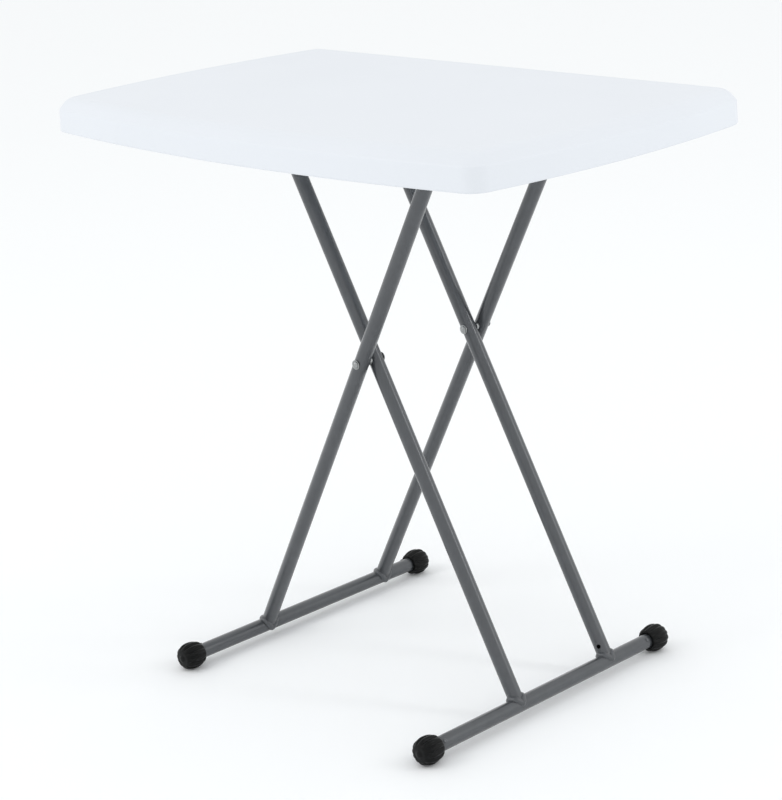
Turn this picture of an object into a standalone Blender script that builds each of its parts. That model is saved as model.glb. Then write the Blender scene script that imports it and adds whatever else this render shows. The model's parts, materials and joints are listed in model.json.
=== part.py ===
"""Folding tray table: a blow-moulded top on two crossed tube frames that fold flat under it.

Frame: metres, +Z up, x along the top's length, y from the user's edge to the straight back edge.
The origin is on the floor, under the middle of the whole table's box.
The outer frame hangs on a rod that slides in two slotted rails.  The inner frame's bent
tube hooks into two racks of notches.  The frames cross at two rivets.
"""
import math

import bmesh
import bpy
from mathutils import Matrix, Vector

# ---------------------------------------------------------------- overall sizes
HEIGHT = 0.747            # floor to the top surface
TOP_LENGTH = 0.760        # over the bowed ends
TOP_DEPTH = 0.4525        # between the corners of the two long edges
FRONT_BOW = 0.029         # how far the user's edge bulges out
BACK_BOW = 0.0005         # the back edge is all but straight
END_BOW = 0.0185          # each short end
CORNER_RADIUS = 0.028

# ---------------------------------------------------------------- moulded top
SKIRT_DEPTH = 0.042
DECK_DEPTH = 0.014
RIM_WIDTH = 0.018
SHOULDER_RADIUS = 0.022   # soft bend from the flat top into the shoulder
SHOULDER_SLOPE = math.radians(45)
EDGE_DEPTH = 0.0139       # where the shoulder's slope would meet the skirt
EDGE_RADIUS = 0.003       # tight bend from the shoulder into the skirt
SKIRT_DRAFT = 0.001
RIM_ROUND = 0.002
SKIN = 0.0025             # wall of the blow moulding
BOSS_RADIUS = 0.007
BLOW_HOLE_RADIUS = 0.0035
PLUG_HEAD_RADIUS = 0.006
PLUG_HEAD_HEIGHT = 0.0015
PLUG_LENGTH = 0.006

# ---------------------------------------------------------------- tube frames
TUBE_RADIUS = 0.0095
TUBE_WALL = 0.0012
BEND_RADIUS = 0.038
FOOT_SHIFT = 0.0319       # foot bars' middle, from the leg planes' middle towards the user
INNER_HALF_SPACING = 0.0835
LEG_GAP = 0.0043          # between an inner leg and the outer leg beside it
INNER_FOOT_X = 0.208
OUTER_FOOT_X = -0.2284
HINGE_END_MARGIN = 0.2283  # the hinge rod, in from the top's end
VENT_RADIUS = 0.0028
VENT_HEIGHT = 0.021       # along the inner leg, above its foot bar's axis
VENT_TILT = math.radians(25)

# ---------------------------------------------------------------- feet
CAP_RADIUS = 0.0175
CAP_HALF_LENGTH = 0.016
CAP_CENTRE = 0.209        # from the foot bar's middle to each cap's middle
CAP_LIP = 0.003           # rubber round the bar where the cap's sleeve begins
CAP_END_RADIUS = 0.0085
CAP_BORE_DEPTH = 0.008    # tube end, past the cap's middle
CAP_STEM_REACH = 0.030
CAP_RIVET_RADIUS = 0.0018
CAP_RIVET_HEAD = 0.0030
CAP_RIVET_RISE = 0.0010
CAP_RIVET_DEPTH = 0.0045
CAP_RIVET_INSET = 0.0225  # from the cap's middle back along the bar
CAP_RIVET_TILT = math.radians(40)

# ---------------------------------------------------------------- hinge rod, shoes and rails
ROD_RADIUS = 0.004
ROD_GAP = 0.0007          # between the racks' teeth and the rod that passes under them
LEG_END_PAST_ROD = 0.010
SHOE_HALF_LENGTH = 0.008
SHOE_HALF_HEIGHT = 0.0060
SHOE_FLANGE_HALF_HEIGHT = 0.0080
SHOE_FLANGE = 0.0015
ROD_CAP_RADIUS = 0.0065
ROD_CAP_LENGTH = 0.0050
ROD_CAP_FLOOR = 0.0015
RAIL_THICKNESS = 0.0016
RAIL_LIP = 0.004          # metal below the slot
RAIL_END = 0.0048         # metal past each end of the slot
RAIL_FLANGE = 0.018
RAIL_BACK_GAP = 0.02155   # between the far rail's flange and the rim
RAIL_END_GAP = 0.0020     # between the far rail's outer corner and the rim
RAIL_SCREWS = 4
RAIL_SCREW_INSET = 0.028  # the end screws, from the rail's ends

# ---------------------------------------------------------------- height racks
RACK_OFFSET = 0.030
RACK_WIDTH = 0.012
RACK_BASE = 0.0020
RACK_WALL = 0.0040
RACK_END_GAP = 0.0284     # between the racks' ends and the rim at the top's middle
NOTCH_COUNT = 3
NOTCH_PITCH = 0.075
NOTCH_CLEARANCE = 0.0015
BAR_GAP = 0.0002          # between the bar's crown and its notch's floor
TOOTH_PAST_BAR = 0.0003

# ---------------------------------------------------------------- rivets, washers and screws
RIVET_RADIUS = 0.0032
RIVET_HEAD_RADIUS = 0.0046
RIVET_HEAD_HEIGHT = 0.0024
WASHER_RADIUS = 0.0060
WASHER_THICKNESS = 0.0010
SPACER_RADIUS = 0.0056
SCREW_RADIUS = 0.0017
SCREW_LENGTH = 0.0095
SCREW_HEAD_RADIUS = 0.0038
SCREW_HEAD_HEIGHT = 0.0021
LEG_PLUG_HEAD = 0.0015
LEG_PLUG_STEM = 0.0040
DOME = 0.6                # a domed head's crown, as a share of its radius

# ---------------------------------------------------------------- clearances and facets
GAP = 0.0003              # between pieces that touch
BORE_GAP = 0.0003         # round a pin, shank or rod
OVERSHOOT = 0.002         # how far a cutter runs past what it cuts
TUBE_SEGMENTS = 16
HOLE_SEGMENTS = 12
SCREW_SEGMENTS = 10
CAP_SEGMENTS = 20
COPE_SEGMENTS = 36
BEND_STEPS = 6
CAP_STEPS = 8
SHOULDER_STEPS = 3
EDGE_STEPS = 2
SIDE_STEPS = (14, 8, 4, 8)
CORNER_STEPS = 5
SHARP_ANGLE = math.radians(35)

# ---------------------------------------------------------------- worked-out places
OUTER_HALF_SPACING = INNER_HALF_SPACING + 2 * TUBE_RADIUS + LEG_GAP
rail_inner_y = OUTER_HALF_SPACING + TUBE_RADIUS + 2 * GAP + SHOE_FLANGE + GAP
rail_outer_y = rail_inner_y + RAIL_THICKNESS
rim_x = TOP_LENGTH / 2 - RIM_WIDTH
rim_y = TOP_DEPTH / 2 - RIM_WIDTH
LEG_OFFSET_Y = rim_y - RAIL_BACK_GAP - RAIL_FLANGE - rail_outer_y
FOOT_OFFSET_Y = LEG_OFFSET_Y - FOOT_SHIFT
notch_half = TUBE_RADIUS + NOTCH_CLEARANCE
rack_low_x = RACK_END_GAP - rim_x
INNER_BAR_X = rack_low_x + RACK_WALL + notch_half + NOTCH_PITCH * (NOTCH_COUNT - 1)
HINGE_X = TOP_LENGTH / 2 - HINGE_END_MARGIN
rail_corner_bow = END_BOW * ((rim_y - RAIL_BACK_GAP) / (TOP_DEPTH / 2)) ** 2
rail_low_x = RAIL_END_GAP - (rim_x - rail_corner_bow)
ROD_TRAVEL = HINGE_X - rail_low_x - RAIL_END - GAP - SHOE_HALF_LENGTH
BAR_DEPTH = DECK_DEPTH + GAP + RACK_BASE + BAR_GAP + TUBE_RADIUS
ROD_DEPTH = BAR_DEPTH + TOOTH_PAST_BAR + ROD_GAP + ROD_RADIUS
front_edge = -(TOP_DEPTH / 2 + FRONT_BOW)
back_edge = TOP_DEPTH / 2 + BACK_BOW
cap_reach = CAP_CENTRE + CAP_HALF_LENGTH
low_y = min(front_edge, FOOT_OFFSET_Y - cap_reach)
high_y = max(back_edge, FOOT_OFFSET_Y + cap_reach)
TOP_Y = -(low_y + high_y) / 2
LEG_Y = TOP_Y + LEG_OFFSET_Y
FOOT_Y = TOP_Y + FOOT_OFFSET_Y
FOOT_Z = CAP_RADIUS
DECK_Z = HEIGHT - DECK_DEPTH
INNER_FOOT = Vector((INNER_FOOT_X, 0, FOOT_Z))
INNER_BAR = Vector((INNER_BAR_X, 0, HEIGHT - BAR_DEPTH))
OUTER_FOOT = Vector((OUTER_FOOT_X, 0, FOOT_Z))
HINGE = Vector((HINGE_X, 0, HEIGHT - ROD_DEPTH))


def crossing(a, b, c, d):
    """Where the line through a and b meets the line through c and d, in the x-z plane."""
    u = b - a
    v = d - c
    w = c - a
    along = (w.x * v.z - w.z * v.x) / (u.x * v.z - u.z * v.x)
    return a + u * along


PIVOT = crossing(INNER_FOOT, INNER_BAR, OUTER_FOOT, HINGE)

# ---------------------------------------------------------------- scene and materials
for leftover in list(bpy.data.objects):
    bpy.data.objects.remove(leftover, do_unlink=True)


def finish(name, colour, roughness, metallic=0.0):
    """A Principled material of one colour."""
    material = bpy.data.materials.new(name)
    material.use_nodes = True
    shader = material.node_tree.nodes["Principled BSDF"]
    shader.inputs["Base Color"].default_value = (*colour, 1.0)
    shader.inputs["Roughness"].default_value = roughness
    shader.inputs["Metallic"].default_value = metallic
    return material


WHITE_PLASTIC = ("white_plastic", (0.83, 0.86, 0.89), 0.45)
GREY_TUBE = ("grey_tube", (0.12, 0.13, 0.135), 0.45, 0.35)
ZINC = ("zinc", (0.62, 0.62, 0.60), 0.35, 0.9)
BLACK_RUBBER = ("black_rubber", (0.015, 0.016, 0.016), 0.6)
BLACK_NYLON = ("black_nylon", (0.03, 0.03, 0.032), 0.5)


def dress(obj, spec):
    """Give one piece its own material."""
    obj.data.materials.append(finish(obj.name + "_" + spec[0], *spec[1:]))


def axis_empty(name, world, parent=None):
    """An empty that marks a joint's axis and carries what moves on it."""
    empty = bpy.data.objects.new(name, None)
    bpy.context.collection.objects.link(empty)
    empty.parent = parent
    empty.location = world - parent_origin(parent)
    return empty


def parent_origin(parent):
    """World place of an unturned chain of parents."""
    place = Vector((0, 0, 0))
    while parent is not None:
        place += parent.location
        parent = parent.parent
    return place


def link_mesh(name, bm):
    """Make an object from a bmesh, with its faces pointing out."""
    bmesh.ops.recalc_face_normals(bm, faces=bm.faces)
    mesh = bpy.data.meshes.new(name)
    bm.to_mesh(mesh)
    bm.free()
    obj = bpy.data.objects.new(name, mesh)
    bpy.context.collection.objects.link(obj)
    return obj


def put(obj, world, spec, parent=None, turn_y=0.0, smooth=True):
    """Place a piece in the world, turned about y, and give it its material."""
    obj.parent = parent
    obj.location = Vector(world) - parent_origin(parent)
    obj.rotation_euler = (0, turn_y, 0)
    if smooth:
        obj.data.shade_smooth()
        obj.data.set_sharp_from_angle(angle=SHARP_ANGLE)
    dress(obj, spec)
    return obj


# ---------------------------------------------------------------- shape helpers
def lofted(name, rings, cap_ends=True, closed=False):
    """Skin a list of equal rings of points; cap the ends, or close the last ring to the first."""
    bm = bmesh.new()
    loops = [[bm.verts.new(point) for point in ring] for ring in rings]
    pairs = list(zip(loops, loops[1:]))
    if closed:
        pairs.append((loops[-1], loops[0]))
    for lower, upper in pairs:
        count = len(lower)
        for i in range(count):
            j = (i + 1) % count
            bm.faces.new((lower[i], lower[j], upper[j], upper[i]))
    if cap_ends and not closed:
        bm.faces.new(loops[0])
        bm.faces.new(list(reversed(loops[-1])))
    return link_mesh(name, bm)


def ring_about_y(radius, y, segments, phase=0.0):
    """A circle of points about the y axis; phase turns it by a share of one step."""
    angles = [math.tau * (i + phase) / segments for i in range(segments)]
    return [Vector((radius * math.cos(a), y, radius * math.sin(a))) for a in angles]


def turned(name, profile, segments=HOLE_SEGMENTS, closed=False, phase=0.0):
    """A profile of (radius, y) points turned about y; a closed profile is a ring with a bore."""
    rings = [ring_about_y(radius, y, segments, phase) for radius, y in profile]
    return lofted(name, rings, closed=closed)


def prism(name, outline, y0, y1):
    """An (x, z) outline extruded along y."""
    rings = [[Vector((x, y, z)) for x, z in outline] for y in (y0, y1)]
    return lofted(name, rings)


def prism_x(name, outline, x0, x1):
    """A (y, z) outline extruded along x."""
    rings = [[Vector((x, y, z)) for y, z in outline] for x in (x0, x1)]
    return lofted(name, rings)


def pin_cutter(centre, radius, half_length, direction, segments=HOLE_SEGMENTS):
    """A cylinder along a direction, centred on a point, with no edge on a tube's crown line."""
    cutter = turned("cutter", [(radius, -half_length), (radius, half_length)], segments, phase=0.5)
    turn = Vector((0, 1, 0)).rotation_difference(Vector(direction))
    cutter.data.transform(Matrix.Translation(Vector(centre)) @ turn.to_matrix().to_4x4())
    return cutter


def box_cutter(low, high):
    """A box between two corners."""
    outline = [(low[0], low[2]), (high[0], low[2]), (high[0], high[2]), (low[0], high[2])]
    return prism("cutter", outline, low[1], high[1])


def cut(obj, cutters, operation="DIFFERENCE"):
    """Cut a piece with each cutter by an exact Boolean; the cutter stays as a hidden guide."""
    for cutter in cutters:
        cutter.name = "cutter_" + obj.name
        cutter.hide_render = True
        cutter.display_type = "WIRE"
        cutter.parent = obj
        modifier = obj.modifiers.new("cut", "BOOLEAN")
        modifier.operation = operation
        modifier.solver = "EXACT"
        modifier.object = cutter
    return obj


# ---------------------------------------------------------------- the top's outline
def side_circle(a, b, bow):
    """Centre and radius of the arc from a to b that bulges out to the right by bow."""
    chord = b - a
    radius = (chord.length_squared / 4 + bow * bow) / (2 * bow)
    outward = Vector((chord.y, -chord.x)).normalized()
    return (a + b) / 2 - outward * (radius - bow), radius


def fillet_centre(first, second, corner):
    """Centre of the corner circle that touches both side arcs from inside."""
    (c1, r1), (c2, r2) = first, second
    r1 -= CORNER_RADIUS
    r2 -= CORNER_RADIUS
    apart = c2 - c1
    along = (r1 * r1 - r2 * r2 + apart.length_squared) / (2 * apart.length)
    across = math.sqrt(r1 * r1 - along * along)
    unit = apart.normalized()
    base = c1 + unit * along
    side = Vector((-unit.y, unit.x)) * across
    return min((base + side, base - side), key=lambda p: (p - corner).length)


def arc_points(centre, radius, start, end, steps):
    """Points of an arc as (centre, radius, unit direction), so an inset only shortens the radius."""
    a = math.atan2(start.y - centre.y, start.x - centre.x)
    b = math.atan2(end.y - centre.y, end.x - centre.x)
    sweep = (b - a) % math.tau
    angles = [a + sweep * i / steps for i in range(steps)]
    return [(centre, radius, Vector((math.cos(t), math.sin(t)))) for t in angles]


def outline_rays():
    """The top's outline, anticlockwise: bowed sides joined by round corners."""
    x = TOP_LENGTH / 2 - END_BOW
    y = TOP_DEPTH / 2
    corners = [Vector((-x, -y)), Vector((x, -y)), Vector((x, y)), Vector((-x, y))]
    bows = [FRONT_BOW, END_BOW, BACK_BOW, END_BOW]
    circles = [side_circle(corners[i], corners[(i + 1) % 4], bows[i]) for i in range(4)]
    fillets = [fillet_centre(circles[i - 1], circles[i], corners[i]) for i in range(4)]
    rays = []
    for i in range(4):
        centre, radius = circles[i]
        previous, _ = circles[i - 1]
        following = fillets[(i + 1) % 4]
        enter = fillets[i] + (fillets[i] - centre).normalized() * CORNER_RADIUS
        leave = following + (following - centre).normalized() * CORNER_RADIUS
        arrive = fillets[i] + (fillets[i] - previous).normalized() * CORNER_RADIUS
        rays += arc_points(fillets[i], CORNER_RADIUS, arrive, enter, CORNER_STEPS)
        rays += arc_points(centre, radius, enter, leave, SIDE_STEPS[i])
    return rays


def outline_at(rays, inset, depth):
    """The outline drawn in by an inset, at a depth below the top surface."""
    ring = []
    for centre, radius, unit in rays:
        point = centre + unit * (radius - inset)
        ring.append(Vector((point.x, point.y + TOP_Y, HEIGHT - depth)))
    return ring


# ---------------------------------------------------------------- fastener places
slot_high_x = HINGE_X + SHOE_HALF_LENGTH + GAP
slot_low_x = HINGE_X - ROD_TRAVEL - SHOE_HALF_LENGTH - GAP
rail_x = (rail_low_x, slot_high_x + RAIL_END)
flange_z = DECK_Z - GAP
rail_screw_y = rail_outer_y + RAIL_FLANGE / 2
rail_screw_first = rail_x[0] + RAIL_SCREW_INSET
rail_screw_step = (rail_x[1] - rail_x[0] - 2 * RAIL_SCREW_INSET) / (RAIL_SCREWS - 1)
rail_screw_xs = [rail_screw_first + rail_screw_step * i for i in range(RAIL_SCREWS)]
rack_high_x = INNER_BAR_X + notch_half + RACK_WALL
rack_screw_xs = [INNER_BAR_X - NOTCH_PITCH * (i + 0.5) for i in range(NOTCH_COUNT - 1)]
SIDES = (("near", -1), ("far", 1))


def screw_places():
    """Every screw's (name, x, y, plate thickness under its head)."""
    places = []
    for side, sign in SIDES:
        rail_y = LEG_Y + sign * rail_screw_y
        rack_y = LEG_Y + sign * RACK_OFFSET
        for i, x in enumerate(rail_screw_xs):
            places.append((f"rail_screw_{side}_{i + 1}", x, rail_y, RAIL_THICKNESS))
        for i, x in enumerate(rack_screw_xs):
            places.append((f"rack_screw_{side}_{i + 1}", x, rack_y, RACK_BASE))
    return places


# ---------------------------------------------------------------- pieces of the top
def edge_profile(skin):
    """(inset, depth) from the flat top over the shoulder to the skirt, one wall's thickness in."""
    crown = EDGE_DEPTH / math.tan(SHOULDER_SLOPE) + SHOULDER_RADIUS * math.tan(SHOULDER_SLOPE / 2)
    soft = SHOULDER_RADIUS - skin
    profile = []
    for i in range(SHOULDER_STEPS + 1):
        angle = SHOULDER_SLOPE * i / SHOULDER_STEPS
        profile.append((crown - soft * math.sin(angle), SHOULDER_RADIUS - soft * math.cos(angle)))
    rest = math.pi / 2 - SHOULDER_SLOPE
    middle = EDGE_DEPTH + EDGE_RADIUS * math.tan(rest / 2)
    tight = EDGE_RADIUS - skin
    for i in range(EDGE_STEPS + 1):
        angle = SHOULDER_SLOPE + rest * i / EDGE_STEPS
        inset = SKIRT_DRAFT + EDGE_RADIUS - tight * math.sin(angle)
        profile.append((inset, middle - tight * math.cos(angle)))
    return profile


def make_top():
    """The moulded top: a closed double wall with a hollow rim, open at its blow hole."""
    rays = outline_rays()
    outer = edge_profile(0.0) + [
        (0.0, SKIRT_DEPTH - RIM_ROUND),
        (RIM_ROUND, SKIRT_DEPTH),
        (RIM_WIDTH - RIM_ROUND, SKIRT_DEPTH),
        (RIM_WIDTH, SKIRT_DEPTH - RIM_ROUND),
        (RIM_WIDTH, DECK_DEPTH),
    ]
    top = lofted("table_top", [outline_at(rays, inset, depth) for inset, depth in outer])
    hollow = edge_profile(SKIN) + [
        (SKIN, SKIRT_DEPTH - SKIN),
        (RIM_WIDTH - SKIN, SKIRT_DEPTH - SKIN),
        (RIM_WIDTH - SKIN, DECK_DEPTH - SKIN),
    ]
    cavity = lofted("cavity", [outline_at(rays, inset, depth) for inset, depth in hollow])
    bosses = []
    cutters = []
    for _, x, y, _ in screw_places():
        middle = (x, y, HEIGHT - DECK_DEPTH / 2)
        bosses.append(pin_cutter(middle, BOSS_RADIUS, DECK_DEPTH / 2, (0, 0, 1)))
        half = (SCREW_LENGTH + GAP) / 2
        centre = (x, y, DECK_Z - GAP + half)
        cutters.append(pin_cutter(centre, SCREW_RADIUS + BORE_GAP, half + GAP, (0, 0, 1)))
    cut(cavity, bosses)
    cutters.append(pin_cutter((0, LEG_Y, DECK_Z), BLOW_HOLE_RADIUS, SKIN + OVERSHOOT, (0, 0, 1)))
    cut(top, [cavity] + cutters)
    put(top, (0, 0, 0), WHITE_PLASTIC)
    stem = BLOW_HOLE_RADIUS - BORE_GAP
    head_z = -GAP - PLUG_HEAD_HEIGHT
    profile = [(PLUG_HEAD_RADIUS * DOME, head_z), (PLUG_HEAD_RADIUS, -GAP - PLUG_HEAD_HEIGHT / 2),
               (PLUG_HEAD_RADIUS, -GAP), (stem, -GAP), (stem, PLUG_LENGTH - stem / 3),
               (stem * DOME, PLUG_LENGTH)]
    plug = turned("blow_hole_plug", profile)
    plug.data.transform(Matrix.Rotation(math.pi / 2, 4, "X"))
    put(plug, (0, LEG_Y, DECK_Z), WHITE_PLASTIC)


def make_screws():
    """Pan-head screws that hold the rails and racks up into the deck's bosses."""
    for name, x, y, plate in screw_places():
        under = -GAP - plate - GAP
        profile = [(SCREW_HEAD_RADIUS * DOME, under - SCREW_HEAD_HEIGHT),
                   (SCREW_HEAD_RADIUS, under - SCREW_HEAD_HEIGHT / 3), (SCREW_HEAD_RADIUS, under),
                   (SCREW_RADIUS, under), (SCREW_RADIUS, SCREW_LENGTH - 2 * SCREW_RADIUS),
                   (SCREW_RADIUS / 3, SCREW_LENGTH - GAP)]
        screw = turned(name, profile, SCREW_SEGMENTS)
        screw.data.transform(Matrix.Rotation(math.pi / 2, 4, "X"))
        put(screw, (x, y, DECK_Z), ZINC)


def make_rails():
    """Two steel angles, screwed under the deck, whose hanging webs are slotted for the shoes."""
    web_foot = HEIGHT - ROD_DEPTH - SHOE_HALF_HEIGHT - GAP - RAIL_LIP
    slot_half = SHOE_HALF_HEIGHT + GAP
    for side, sign in SIDES:
        inner = LEG_Y + sign * rail_inner_y
        outer = LEG_Y + sign * rail_outer_y
        flange = outer + sign * RAIL_FLANGE
        section = [(inner, web_foot), (outer, web_foot), (outer, flange_z - RAIL_THICKNESS),
                   (flange, flange_z - RAIL_THICKNESS), (flange, flange_z), (inner, flange_z)]
        rail = prism_x("slide_rail_" + side, section, *rail_x)
        low, high = sorted((inner, outer))
        cutters = [box_cutter((slot_low_x, low - OVERSHOOT, HINGE.z - slot_half),
                              (slot_high_x, high + OVERSHOOT, HINGE.z + slot_half))]
        half = RAIL_THICKNESS + OVERSHOOT
        for x in rail_screw_xs:
            centre = (x, LEG_Y + sign * rail_screw_y, flange_z)
            cutters.append(pin_cutter(centre, SCREW_RADIUS + BORE_GAP, half, (0, 0, 1)))
        cut(rail, cutters)
        put(rail, (0, 0, 0), ZINC, smooth=False)


def make_racks():
    """Two moulded racks with a row of notches for the inner frame's top bar."""
    base_z = flange_z - RACK_BASE
    tip_z = INNER_BAR.z - TOOTH_PAST_BAR
    outline = [(rack_low_x, flange_z), (rack_high_x, flange_z)]
    for i in range(NOTCH_COUNT):
        middle = INNER_BAR_X - NOTCH_PITCH * i
        for wall in (middle + notch_half, middle - notch_half - RACK_WALL):
            outline += [(wall + RACK_WALL, base_z), (wall + RACK_WALL, tip_z)]
            outline += [(wall, tip_z), (wall, base_z)]
    outline = [outline[0], outline[1]] + outline[3:-1]
    for side, sign in SIDES:
        middle = LEG_Y + sign * RACK_OFFSET
        low, high = middle - RACK_WIDTH / 2, middle + RACK_WIDTH / 2
        rack = prism("height_rack_" + side, outline, low, high)
        half = RACK_BASE + OVERSHOOT
        cut(rack, [pin_cutter((x, middle, flange_z), SCREW_RADIUS + BORE_GAP, half, (0, 0, 1))
                   for x in rack_screw_xs])
        put(rack, (0, 0, 0), BLACK_NYLON, smooth=False)


# ---------------------------------------------------------------- the sliding hinge
def make_slider(parent):
    """The hinge rod, its two shoes in the rails' slots and the caps on its ends."""
    shoe_outer = rail_outer_y + GAP + SHOE_FLANGE
    rod_half = shoe_outer + GAP + ROD_CAP_LENGTH - ROD_CAP_FLOOR - GAP
    rod = turned("hinge_rod", [(ROD_RADIUS, -rod_half), (ROD_RADIUS, rod_half)], TUBE_SEGMENTS)
    hinge = Vector((HINGE.x, LEG_Y, HINGE.z))
    put(rod, hinge, ZINC, parent)
    shoe_inner = rail_inner_y - GAP - SHOE_FLANGE
    for side, sign in SIDES:
        steps = [(shoe_inner, SHOE_FLANGE_HALF_HEIGHT), (rail_inner_y - GAP, SHOE_FLANGE_HALF_HEIGHT),
                 (rail_inner_y - GAP, SHOE_HALF_HEIGHT), (rail_outer_y + GAP, SHOE_HALF_HEIGHT),
                 (rail_outer_y + GAP, SHOE_FLANGE_HALF_HEIGHT), (shoe_outer, SHOE_FLANGE_HALF_HEIGHT)]
        section = [(sign * y, z) for y, z in steps] + [(sign * y, -z) for y, z in reversed(steps)]
        shoe = prism_x("slide_shoe_" + side, section, -SHOE_HALF_LENGTH, SHOE_HALF_LENGTH)
        half = 2 * SHOE_FLANGE + RAIL_THICKNESS + OVERSHOOT
        cut(shoe, [pin_cutter((0, sign * rail_inner_y, 0), ROD_RADIUS + BORE_GAP, half, (0, 1, 0))])
        put(shoe, hinge, BLACK_NYLON, parent, smooth=False)
        start = shoe_outer + GAP
        bore = ROD_RADIUS + BORE_GAP
        floor = start + ROD_CAP_LENGTH - ROD_CAP_FLOOR
        profile = [(bore, floor), (bore, start), (ROD_CAP_RADIUS, start),
                   (ROD_CAP_RADIUS, floor), (ROD_CAP_RADIUS * DOME, start + ROD_CAP_LENGTH)]
        cap = turned("rod_cap_" + side, [(radius, sign * y) for radius, y in profile])
        put(cap, hinge, BLACK_NYLON, parent)


# ---------------------------------------------------------------- tube frames
def leg_turn(foot, head):
    """Turn about y that lays a +z leg along the line from foot to head."""
    return math.atan2(head.x - foot.x, head.z - foot.z)


def foot_cutter():
    """The cylinder that copes a leg's end to sit on its foot bar."""
    half = OUTER_HALF_SPACING + INNER_HALF_SPACING
    return pin_cutter((0, 0, 0), TUBE_RADIUS + GAP, half, (0, 1, 0), COPE_SEGMENTS)


def make_outer_legs(parent):
    """Two straight tubes, coped at the foot bar, drilled for the rivets and the hinge rod."""
    reach = (HINGE - OUTER_FOOT).length
    pivot_reach = (PIVOT - OUTER_FOOT).length
    top_end = reach + LEG_END_PAST_ROD
    bore = TUBE_RADIUS - TUBE_WALL
    turn = leg_turn(OUTER_FOOT, HINGE)
    for side, sign in SIDES:
        profile = [(TUBE_RADIUS, 0), (TUBE_RADIUS, top_end), (bore, top_end), (bore, 0)]
        leg = turned("outer_leg_" + side, profile, TUBE_SEGMENTS, closed=True)
        leg.data.transform(Matrix.Rotation(math.pi / 2, 4, "X"))
        half = TUBE_RADIUS + OVERSHOOT
        cut(leg, [
            foot_cutter(),
            pin_cutter((0, 0, pivot_reach), RIVET_RADIUS + BORE_GAP, half, (0, 1, 0)),
            pin_cutter((0, 0, reach), ROD_RADIUS + BORE_GAP, half, (0, 1, 0)),
        ])
        y = LEG_Y + sign * OUTER_HALF_SPACING
        put(leg, (OUTER_FOOT.x, y, OUTER_FOOT.z), GREY_TUBE, parent, turn)
        stem = bore - BORE_GAP
        head = GAP + LEG_PLUG_HEAD
        plug_profile = [(stem, -LEG_PLUG_STEM), (stem, GAP), (TUBE_RADIUS, GAP),
                        (TUBE_RADIUS - LEG_PLUG_HEAD, head)]
        plug = turned("leg_plug_" + side, plug_profile)
        upright = Matrix.Rotation(math.pi / 2, 4, "X")
        plug.data.transform(Matrix.Translation((0, 0, top_end)) @ upright)
        put(plug, (OUTER_FOOT.x, y, OUTER_FOOT.z), BLACK_NYLON, parent, turn)


def bent_path():
    """The inner frame's centre line in its own plane: points and sideways directions."""
    reach = (INNER_BAR - INNER_FOOT).length
    half = INNER_HALF_SPACING
    path = [((-half, 0.0), (-1.0, 0.0))]
    for sign in (-1, 1):
        centre = (sign * (half - BEND_RADIUS), reach - BEND_RADIUS)
        for i in range(BEND_STEPS + 1):
            share = i / BEND_STEPS
            angle = math.pi / 2 * (share if sign < 0 else 1 - share)
            unit = (sign * math.cos(angle), math.sin(angle))
            path.append(((centre[0] + BEND_RADIUS * unit[0], centre[1] + BEND_RADIUS * unit[1]), unit))
    path.append(((half, 0.0), (1.0, 0.0)))
    return path


def make_inner_frame(parent):
    """One tube bent to an upside-down U, coped at its feet, drilled for rivets and vents."""
    pivot_reach = (PIVOT - INNER_FOOT).length
    walls = []
    for radius in (TUBE_RADIUS, TUBE_RADIUS - TUBE_WALL):
        rings = []
        for (y, z), (out_y, out_z) in bent_path():
            ring = []
            for i in range(TUBE_SEGMENTS):
                angle = math.tau * i / TUBE_SEGMENTS
                out = radius * math.cos(angle)
                ring.append(Vector((radius * math.sin(angle), y + out * out_y, z + out * out_z)))
            rings.append(ring)
        walls.append(rings)
    frame = lofted("inner_frame_tube", walls[0] + list(reversed(walls[1])), closed=True)
    cutters = [foot_cutter()]
    for _, sign in SIDES:
        y = sign * INNER_HALF_SPACING
        half = TUBE_RADIUS + OVERSHOOT
        cutters.append(pin_cutter((0, y, pivot_reach), RIVET_RADIUS + BORE_GAP, half, (0, 1, 0)))
        inward = Vector((math.sin(VENT_TILT), -sign * math.cos(VENT_TILT), 0))
        vent = Vector((0, y, VENT_HEIGHT)) + inward * TUBE_RADIUS
        cutters.append(pin_cutter(vent, VENT_RADIUS, TUBE_WALL + OVERSHOOT, inward))
    cut(frame, cutters)
    turn = leg_turn(INNER_FOOT, INNER_BAR)
    put(frame, (INNER_FOOT.x, LEG_Y, INNER_FOOT.z), GREY_TUBE, parent, turn)


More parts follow.
